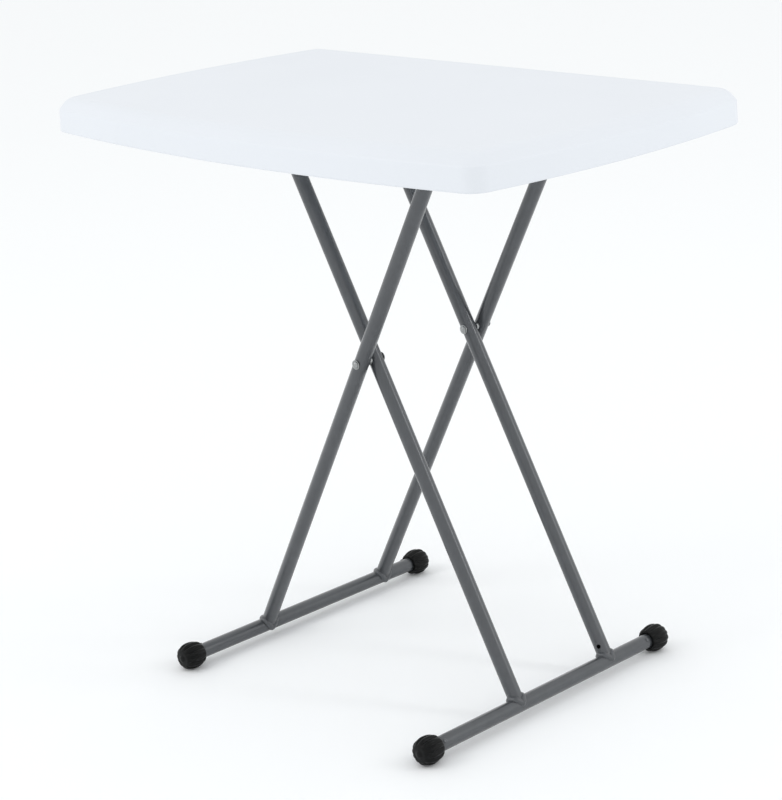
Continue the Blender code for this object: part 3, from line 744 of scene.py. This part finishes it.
# ---------------------------------------------------------------- tube frames
@dataclass
class TubeFrames:
    """Both leg frames: legs, bent tube, foot bars and the weld beads that join them."""

    radius: float = 0.0095
    wall: float = 0.0012
    lip: float = 0.0004                # how far a tube's rounded end stands out
    bend: float = 0.038
    half_inner: float = 0.0835         # from the middle to each inner leg
    half_outer: float = 0.1068         # from the middle to each outer leg
    past_rod: float = 0.010
    first_rings: tuple[float, float] = (0.004, 0.02)
    end_gap: float = 0.0005            # a foot tube stops this short of its CAD node
    bar_rings: int = 9
    bend_rings: int = 17
    vent_radius: float = 0.0028
    vent_height: float = 0.021
    vent_tilt: float = math.radians(25)
    vent_reach: float = 0.004          # how far the drill runs to either side of the wall
    bead_radius: float = 0.0048
    bead_sink: float = 0.0016
    bead_rings: int = 220
    bead_columns: int = 12
    columns: int = 48
    hinge: np.ndarray = field(default_factory=lambda: joint_place("outer_frame_fold"))
    pivot: np.ndarray = field(default_factory=lambda: joint_place("scissor_close"))

    def foot(self, name: str) -> np.ndarray:
        """Where a frame's leg plane meets its foot bar.

        Args:
            name: the frame, outer or inner.

        Returns:
            The point on the bar's middle line, halfway between the legs.
        """
        place = middle(f"{name}_foot_bar")
        place[1] = self.hinge[1]
        return place

    def tube(self, name: str, path: np.ndarray, outward: np.ndarray,
             binormal: np.ndarray) -> bpy.types.Object:
        """A hollow tube along a plane path: the outer wall, a rounded lip, then the inner wall back.

        Args:
            name: the object's name.
            path: points along the tube's middle.
            outward: a unit direction across the path at each point, in the path's plane.
            binormal: the unit direction square to the path's plane.

        Returns:
            The tube.
        """
        outer = swept(path, outward, binormal, self.radius, self.columns)
        inner = swept(path, outward, binormal, self.radius - self.wall, self.columns)
        lips = []
        for end, next_to_end in ((0, 1), (-1, -2)):
            along = path[end] - path[next_to_end]
            along = along / np.linalg.norm(along)
            lips.append((outer[end] + inner[end])[None] / 2 + along * self.lip)
        begin, finish = lips
        return skin(name, np.concatenate([outer, finish, inner[::-1], begin]), ring=True)

    def leg_line(self, foot: np.ndarray, through: np.ndarray) -> tuple[np.ndarray, np.ndarray]:
        """A leg's directions.

        Args:
            foot: the leg's lower end.
            through: a point further up the leg.

        Returns:
            The unit direction up the leg and the unit direction square to it in the x-z plane.
        """
        along = through - foot
        along = along / np.linalg.norm(along)
        return along, np.cross(ALONG_Y, along)

    def leg_heights(self, reach: float, last: float) -> np.ndarray:
        """How far up a leg its rings are: two by the foot, three spread over its reach, and the last."""
        return np.array((*self.first_rings, reach * 0.25, reach * 0.5, reach * 0.75, last))

    def saddle(self, name: str, foot: np.ndarray, along: np.ndarray, across: np.ndarray, body: Body) -> None:
        """A weld bead on the line where a leg meets its foot bar.

        On equal tubes that line is, at angle a round the leg, R * |sin a| up the leg.  The bead is a small
        circle carried along it, with ripples from one weld puddle to the next.

        Args:
            name: the bead's name.
            foot: where the leg's middle line meets the foot bar's.
            along: the unit direction up the leg.
            across: the unit direction square to the leg and the foot bar.
            body: the rigid body that it moves with.
        """
        angle = np.linspace(0.0, TAU, self.bead_rings, endpoint=False)
        rise = self.radius * np.sqrt(np.sin(angle) ** 2 + 0.02)
        spoke = np.cos(angle)[:, None] * across + np.sin(angle)[:, None] * ALONG_Y
        line = foot + (self.radius - self.bead_sink) * spoke + rise[:, None] * along
        tangent = np.roll(line, -1, axis=0) - np.roll(line, 1, axis=0)
        tangent /= np.linalg.norm(tangent, axis=1, keepdims=True)
        first = spoke - np.sum(spoke * tangent, axis=1, keepdims=True) * tangent
        first /= np.linalg.norm(first, axis=1, keepdims=True)
        second = np.cross(tangent, first)
        ripple = 1.0 + 0.02 * np.cos(angle * 44) + 0.04 * np.sin(angle * 7 + 1.0)
        around = np.linspace(0.0, TAU, self.bead_columns, endpoint=False)[None, :, None]
        circle = np.cos(around) * first[:, None] + np.sin(around) * second[:, None]
        grid = line[:, None] + (self.bead_radius * ripple)[:, None, None] * circle
        settle(skin(name, grid, ring=True, sharp=80.0), body, Slot.COAT)

    def outer_legs(self) -> None:
        """Two straight tubes from the foot bar past the hinge rod."""
        foot = self.foot("outer")
        along, across = self.leg_line(foot, self.hinge)
        reach = float(np.linalg.norm(self.hinge - foot)) + self.past_rod
        heights = self.leg_heights(reach, reach - 0.001)
        outward = np.tile(ALONG_Y, (len(heights), 1))
        for side, sign in (("near", -1), ("far", 1)):
            base = foot + sign * self.half_outer * ALONG_Y
            leg = self.tube(f"outer_leg_tube_{side}", base + heights[:, None] * along, outward, across)
            settle(leg, Body.OUTER, Slot.COAT, f"outer_leg_{side}")
            self.saddle(f"outer_weld_{side}", base, along, across, Body.OUTER)

    def bent_path(self, reach: float) -> tuple[np.ndarray, np.ndarray]:
        """The inner tube's middle line: straight, quarter circle, bar, quarter circle, straight.

        Args:
            reach: how far up the legs the bar lies.

        Returns:
            (sideways, up the leg) points, and the unit directions that face out of the bends there.
        """
        straight = self.leg_heights(reach, reach - self.bend - self.first_rings[0])
        angle = np.linspace(0.0, math.pi / 2, self.bend_rings)
        facing = np.stack([-np.cos(angle), np.sin(angle)], axis=1)
        bend_middle = np.array((self.bend - self.half_inner, reach - self.bend))
        leg = np.stack([np.full(len(straight), -self.half_inner), straight], axis=1)
        half = np.vstack([leg, bend_middle + self.bend * facing])
        faces = np.vstack([np.tile((-1.0, 0.0), (len(straight), 1)), facing])
        mirror = (-1, 1)
        return np.vstack([half, half[::-1] * mirror]), np.vstack([faces, faces[::-1] * mirror])

    def inner_frame(self) -> None:
        """One tube bent to an upside-down U, with a vent hole low on each leg."""
        foot = self.foot("inner")
        along, across = self.leg_line(foot, self.pivot)
        bar_z = corners_of("inner_frame_tube")[1, 2] - self.radius
        flat, faces = self.bent_path((bar_z - foot[2]) / along[2])
        path = foot + flat[:, :1] * ALONG_Y + flat[:, 1:] * along
        outward = faces[:, :1] * ALONG_Y + faces[:, 1:] * along
        tube = self.tube("inner_frame_bent_tube", path, outward, across)
        drill = np.array(((self.vent_radius, -self.vent_reach), (self.vent_radius, self.vent_reach)))
        holes = []
        for sign in (-1, 1):
            inward = across * math.sin(self.vent_tilt) - sign * ALONG_Y * math.cos(self.vent_tilt)
            leg = foot + sign * self.half_inner * ALONG_Y
            spot = leg + along * self.vent_height + inward * self.radius
            holes.append(turned("vent", drill, spot, inward, 24))
        settle(drilled(tube, holes), Body.INNER, Slot.COAT, "inner_frame_tube")
        for side, sign in (("near", -1), ("far", 1)):
            base = foot + sign * self.half_inner * ALONG_Y
            self.saddle(f"inner_weld_{side}", base, along, across, Body.INNER)

    def foot_bar(self, name: str, body: Body) -> None:
        """A straight tube from inside one cap to inside the other.

        Args:
            name: the frame that it belongs to, outer or inner.
            body: the rigid body that it moves with.
        """
        low, high = corners_of(f"{name}_foot_bar")
        ys = np.linspace(low[1] + self.end_gap, high[1] - self.end_gap, self.bar_rings)
        path = np.tile((low + high) / 2, (self.bar_rings, 1))
        path[:, 1] = ys
        outward = np.tile(ALONG_X, (self.bar_rings, 1))
        settle(self.tube(f"{name}_foot_tube", path, outward, UP), body, Slot.COAT, f"{name}_foot_bar")

    def build(self) -> None:
        """Make both frames."""
        self.outer_legs()
        self.inner_frame()
        self.foot_bar("outer", Body.OUTER)
        self.foot_bar("inner", Body.INNER)


# ---------------------------------------------------------------- rubber feet
@dataclass
class FootCaps:
    """Four rubber bulbs with grooves along them, each staked to its bar by a small rivet."""

    radius: float = 0.0175
    half_length: float = 0.016
    lip_radius: float = 0.0124         # at the end that the bar enters
    end_radius: float = 0.0085         # at the closed end
    bore: float = 0.0096
    bore_depth: float = 0.008
    grooves: int = 12
    groove_depth: float = 0.0022
    groove_power: float = 1.6          # above 1 it makes the grooves narrower than the ribs
    nub: float = 0.0016                # the button on the closed end
    floor_gap: float = 0.00005
    rows: int = 41
    columns: int = 168
    rivet_tilt: float = math.radians(40)
    rivet_radius: float = 0.0030

    def outline(self) -> np.ndarray:
        """The cap's section: the bore, the bulb, then the face with its button.

        The bulb's radius swells as sin(t) over a straight line from the lip to the end, and its height
        follows -cos(t).

        Returns:
            (radius, height, share of a groove's depth) rows.
        """
        t = np.linspace(0.0, 1.0, self.rows)
        swell = np.sin(t * math.pi)
        base = self.lip_radius + (self.end_radius - self.lip_radius) * t
        half_bulb = self.half_length - self.nub / 2
        height = -self.nub / 2 - np.cos(t * math.pi) * half_bulb
        grooved = np.clip(swell * 1.5 - 0.25, 0.0, 1.0)
        bulb = np.stack([base + (self.radius - base) * swell, height, grooved], axis=1)
        end = self.half_length - self.nub
        bore = ((0.0010, self.bore_depth, 0), (self.bore, self.bore_depth, 0),
                (self.bore, -self.half_length + 0.001, 0), (self.bore + 0.0006, -self.half_length, 0))
        face = ((self.end_radius * 0.86, end + 0.0002, 0), (0.0046, end + 0.0001, 0),
                (0.0040, end + 0.0007, 0), (0.0030, self.half_length - 0.0002, 0),
                (0.0008, self.half_length, 0))
        return np.vstack([bore, bulb, face])

    def bulb(self, which: str, side: str, sign: int, body: Body) -> None:
        """A turned bulb whose radius dips in each groove.

        The grooves are a cosine comb round the axis, with a rib at the floor.

        Args:
            which: the frame that it is on, outer or inner.
            side: the end that it is on, near or far.
            sign: -1 for near and 1 for far.
            body: the rigid body that it moves with.
        """
        node = f"foot_cap_{which}_{side}"
        low, high = corners_of(node)
        end_y = high[1] if sign > 0 else low[1]
        centre = middle(f"{which}_foot_bar")
        r, height, grooved = self.outline().T[:, :, None]
        angle = np.linspace(0.0, TAU, self.columns, endpoint=False)
        comb = (0.5 + 0.5 * np.cos(angle * self.grooves + math.pi)) ** self.groove_power
        radii = r - self.groove_depth * grooved * comb
        along = np.broadcast_to(end_y + sign * (height - self.half_length), radii.shape)
        x = centre[0] + radii * np.sin(angle)
        z = np.maximum(centre[2] + radii * np.cos(angle), low[2] + self.floor_gap)
        points = np.stack([x, along, z], axis=-1)
        settle(skin(f"rubber_foot_{which}_{side}", points, sharp=60.0), body, Slot.RUBBER, node)

    def stake(self, which: str, side: str, outward: int, body: Body) -> None:
        """A small domed rivet head on the bar, just inboard of the cap.

        Args:
            which: the frame that it is on, outer or inner.
            side: the end that it is on, near or far.
            outward: the way that it faces along x.
            body: the rigid body that it moves with.
        """
        node = f"cap_rivet_{which}_{side}"
        base = middle(f"{which}_foot_bar")
        base[1] = middle(node)[1]
        axis = (outward * math.cos(self.rivet_tilt), 0.0, math.sin(self.rivet_tilt))
        head = self.rivet_radius
        profile = softened(((0.0006, 0.0060), (0.0018, 0.0060), (0.0018, 0.0096), (head, 0.0096),
                            (head, 0.0101), (0.0016, 0.0107), (0.0005, 0.0108)), 0.0003)
        settle(turned(f"stake_rivet_{which}_{side}", profile, base, axis, 24), body, Slot.COAT, node)

    def build(self) -> None:
        """Make the four caps and their rivets."""
        for which, body, outward in (("outer", Body.OUTER, -1), ("inner", Body.INNER, 1)):
            for side, sign in (("near", -1), ("far", 1)):
                self.bulb(which, side, sign, body)
                self.stake(which, side, outward, body)


# ---------------------------------------------------------------- metal hardware
@dataclass
class Hardware:
    """Rivets, washers, spacers, rod, plugs and screws, turned with rounded edges.

    A profile's points are (radius, height) pairs in metres.
    """

    rivet_head: float = 0.0046
    head_height: float = 0.0024
    rivet_shank: float = 0.0032
    washer_bore: float = 0.0034
    rod_radius: float = 0.004
    cap_radius: float = 0.0065
    plug_reach: float = 0.010          # from the rod to the top of the leg
    plug_radius: float = 0.0078
    tube_radius: float = 0.0095
    screw_shank: float = 0.0017
    head_side: float = 0.0013          # a pan head is domed up to here
    head_thickness: float = 0.0021
    slot_length: float = 0.0021        # half of a screwdriver slot
    slot_width: float = 0.00045
    slot_depth: float = 0.0011
    round_over: float = 0.0004
    hub: float = 0.0004                # the radius at which a profile meets its axis
    columns: int = 48
    rod_columns: int = 36

    def along_y(self, node: str) -> tuple[np.ndarray, float]:
        """A node's middle and half its reach along y."""
        low, high = corners_of(node)
        return (low + high) / 2, (high[1] - low[1]) / 2

    def ring(self, name: str, node: str) -> None:
        """A washer or spacer that fills its CAD node's box.

        Args:
            name: the piece's name.
            node: the CAD node that it stands for.
        """
        low, high = corners_of(node)
        radius = (high[2] - low[2]) / 2
        place, half = self.along_y(node)
        square = ((self.washer_bore, -half), (radius, -half), (radius, half), (self.washer_bore, half))
        profile = softened(square, self.round_over, loop=True)
        settle(turned(name, profile, place, ALONG_Y, self.columns, ring=True), Body.OUTER, Slot.ZINC, node)

    def pivots(self) -> None:
        """The crossing rivets, domed at both ends, with their washers and spacers."""
        for side in ("near", "far"):
            place, half = self.along_y(f"pivot_rivet_{side}")
            face = half - self.head_height
            dome = ((self.hub, half), (self.rivet_head * 0.45, half - 0.0002),
                    (self.rivet_head * 0.85, half - 0.0012), (self.rivet_head, half - 0.0021),
                    (self.rivet_head, face), (self.rivet_shank, face))
            profile = softened([*dome, *((r, -height) for r, height in reversed(dome))], self.round_over)
            rivet = turned(f"crossing_rivet_{side}", profile, place, ALONG_Y, self.columns)
            settle(rivet, Body.OUTER, Slot.ZINC, f"pivot_rivet_{side}")
            for part in ("washer_outer", "washer_inner", "spacer"):
                self.ring(f"crossing_{part}_{side}", f"pivot_{part}_{side}")

    def rod(self) -> None:
        """The hinge rod and the push-on caps at its ends."""
        place, half = self.along_y("hinge_rod")
        radius = self.rod_radius
        profile = softened(((0.0005, -half), (radius, -half), (radius, half), (0.0005, half)), 0.0006, 4)
        rod = turned("steel_hinge_rod", profile, place, ALONG_Y, self.rod_columns)
        settle(rod, Body.SLIDER, Slot.ZINC, "hinge_rod")
        for side, sign in (("near", -1), ("far", 1)):
            node = f"rod_cap_{side}"
            cap_place, half = self.along_y(node)
            place[1] = cap_place[1]
            profile = softened(((0.0042, -half), (self.cap_radius, -half), (self.cap_radius, half * 0.3),
                                (0.0052, half * 0.85), (0.002, half), (self.hub, half)), 0.0006, 4)
            cap = turned(f"push_cap_{side}", profile, place, sign * ALONG_Y, self.rod_columns)
            settle(cap, Body.SLIDER, Slot.NYLON, node)

    def leg_plugs(self) -> None:
        """Plugs in the open tops of the outer legs, lined up with the legs."""
        hinge, pivot = joint_place("outer_frame_fold"), joint_place("scissor_close")
        axis = (hinge - pivot) / np.linalg.norm(hinge - pivot)
        profile = softened(((0.0005, -0.004), (self.plug_radius, -0.004), (self.plug_radius, 0.0003),
                            (self.tube_radius, 0.0003), (self.tube_radius - 0.0002, 0.0011),
                            (self.plug_radius, 0.0018), (self.hub, 0.0018)), 0.0003)
        for side in ("near", "far"):
            node = f"leg_plug_{side}"
            end = hinge + axis * self.plug_reach
            end[1] = middle(node)[1]
            plug = turned(f"tube_plug_{side}", profile, end, axis, self.rod_columns)
            settle(plug, Body.OUTER, Slot.NYLON, node)

    def blade(self, place: Sequence[float], half_size: Sequence[float]) -> bpy.types.Object:
        """A box that cuts one slot of a cross recess.

        Args:
            place: its middle.
            half_size: half its size along each axis.

        Returns:
            The box.
        """
        signs = [(x, y, z) for x in (-1, 1) for y in (-1, 1) for z in (-1, 1)]
        corner = np.array(signs) * half_size + place
        faces = [(0, 1, 3, 2), (4, 6, 7, 5), (0, 4, 5, 1), (2, 3, 7, 6), (0, 2, 6, 4), (1, 5, 7, 3)]
        mesh = bpy.data.meshes.new("blade")
        mesh.from_pydata(corner.tolist(), [], faces)
        return place_in_scene("blade", mesh)

    def screws(self) -> None:
        """Pan heads with a cross recess, under every rail and rack."""
        for node in frame["nodes"]:
            if "_screw_" not in node:
                continue
            low, high = corners_of(node)
            x, y, _ = (low + high) / 2
            head = (high[0] - low[0]) / 2
            bottom, top = low[2], high[2]
            neck = bottom + self.head_thickness
            profile = softened(((self.hub, bottom), (head * 0.55, bottom), (head, bottom + self.head_side),
                                (head, neck), (self.screw_shank, neck), (self.screw_shank, top - 0.003),
                                (self.hub, top)), 0.0005)
            screw = turned(f"pan_{node}", profile, (x, y, 0.0), UP, 24)
            long, short, deep = self.slot_length, self.slot_width, self.slot_depth
            slots = [self.blade((x, y, bottom), size) for size in ((long, short, deep), (short, long, deep))]
            settle(drilled(screw, slots), Body.TOP, Slot.ZINC, node)

    def blow_plug(self) -> None:
        """The round plug in the blow hole."""
        low, high = corners_of("blow_hole_plug")
        x, y, _ = (low + high) / 2
        bottom, top = low[2], high[2]
        profile = softened(((self.hub, bottom), (0.0048, bottom), (0.006, bottom + 0.0008),
                            (0.006, bottom + 0.0014), (0.0031, bottom + 0.0016), (0.0031, top - 0.001),
                            (self.hub, top)), self.round_over)
        plug = turned("round_blow_plug", profile, (x, y, 0.0), UP, 40)
        settle(plug, Body.TOP, Slot.PLASTIC, "blow_hole_plug")

    def carried_over(self) -> None:
        """Dress the flat-sided CAD pieces that are shown as they are."""
        nylon = ("height_rack_near", "height_rack_far", "slide_shoe_near", "slide_shoe_far")
        for names, slot in ((("slide_rail_near", "slide_rail_far"), Slot.ZINC), (nylon, Slot.NYLON)):
            for name in names:
                node = frame["nodes"][name]
                node.data.materials.clear()
                node.data.materials.append(FINISHES[slot])
                LOG.info("%s keeps its shape, in %s", name, slot.value)

    def build(self) -> None:
        """Make all the hardware."""
        self.pivots()
        self.rod()
        self.leg_plugs()
        self.screws()
        self.blow_plug()
        self.carried_over()


# ---------------------------------------------------------------- studio
@dataclass
class Studio:
    """A pale floor, soft lights and the camera."""

    azimuth: float = math.radians(46.634)
    elevation: float = math.radians(17.352)
    roll: float = math.radians(-3.446)
    distance: float = 2.7744
    target: tuple[float, float, float] = (-0.0084, -0.0061, 0.3623)
    lens: float = 100.13
    floor_size: float = 40.0
    world_strength: float = 0.98
    aim_height: float = 0.4            # what the lamps face

    def camera(self) -> None:
        """Stand the camera off its target along azimuth and elevation, then roll it about its view."""
        a, e = self.azimuth, self.elevation
        back = np.array((math.sin(a) * math.cos(e), -math.cos(a) * math.cos(e), math.sin(e)))
        right = np.array((math.cos(a), math.sin(a), 0.0))
        up = np.cross(back, right)
        c, s = math.cos(self.roll), math.sin(self.roll)
        right, up = c * right + s * up, -s * right + c * up
        data = bpy.data.cameras.new("camera")
        data.lens = self.lens
        data.sensor_width = 36.0
        data.clip_start, data.clip_end = 0.05, 60.0
        camera = place_in_scene("camera", data)
        place = np.array(self.target) + back * self.distance
        turn = Matrix(np.stack([right, up, back], axis=1)).to_4x4()
        camera.matrix_world = Matrix.Translation(place) @ turn
        bpy.context.scene.camera = camera

    def lamp(self, name: str, place: Sequence[float], size: tuple[float, float], power: float) -> None:
        """A soft box aimed at the middle of the table.

        Args:
            name: the lamp's name.
            place: where it stands.
            size: its width and height.
            power: its power in watts.
        """
        data = bpy.data.lights.new(name, "AREA")
        data.shape = "RECTANGLE"
        data.size, data.size_y = size
        data.energy = power
        lamp = place_in_scene(name, data)
        lamp.location = place
        lamp.rotation_mode = "QUATERNION"
        aim = Vector((0, 0, self.aim_height)) - Vector(place)
        lamp.rotation_quaternion = aim.to_track_quat("-Z", "Y")

    def floor(self) -> None:
        """A large pale floor."""
        half = self.floor_size / 2
        mesh = bpy.data.meshes.new("studio_floor")
        corners = [(-half, -half, 0), (half, -half, 0), (half, half, 0), (-half, half, 0)]
        mesh.from_pydata(corners, [], [(0, 1, 2, 3)])
        floor = place_in_scene("studio_floor", mesh)
        recipe = Recipe("pale_floor")
        colour = recipe.blend(recipe.noise(scale=0.6), (0.955, 0.965, 0.97), (0.965, 0.975, 0.98))
        recipe.feed(Base_Color=colour, Roughness=0.9, Specular_IOR_Level=0.1)
        mesh.materials.append(recipe.material)

    def build(self) -> None:
        """Make the camera, lights, world and floor."""
        self.camera()
        self.floor()
        self.lamp("front_box", (-1.4, -3.0, 2.6), (1.4, 1.4), 19.0)
        self.lamp("side_strip", (2.66, 1.67, 2.10), (0.24, 1.9), 13.0)
        world = bpy.data.worlds.new("studio_light")
        world.use_nodes = True
        shade = world.node_tree.nodes["Background"]
        shade.inputs["Color"].default_value = (0.985, 0.995, 1.0, 1.0)
        shade.inputs["Strength"].default_value = self.world_strength
        bpy.context.scene.world = world
        bpy.context.scene.view_settings.view_transform = "Standard"


def main() -> None:
    """Build every sub-assembly in order; each piece is logged as it is made."""
    logging.basicConfig(level=logging.INFO, format="%(message)s")
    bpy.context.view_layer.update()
    Studio().build()
    make_finishes()
    TrayTop().build()
    TubeFrames().build()
    FootCaps().build()
    Hardware().build()


if __name__ == "__main__":
    main()
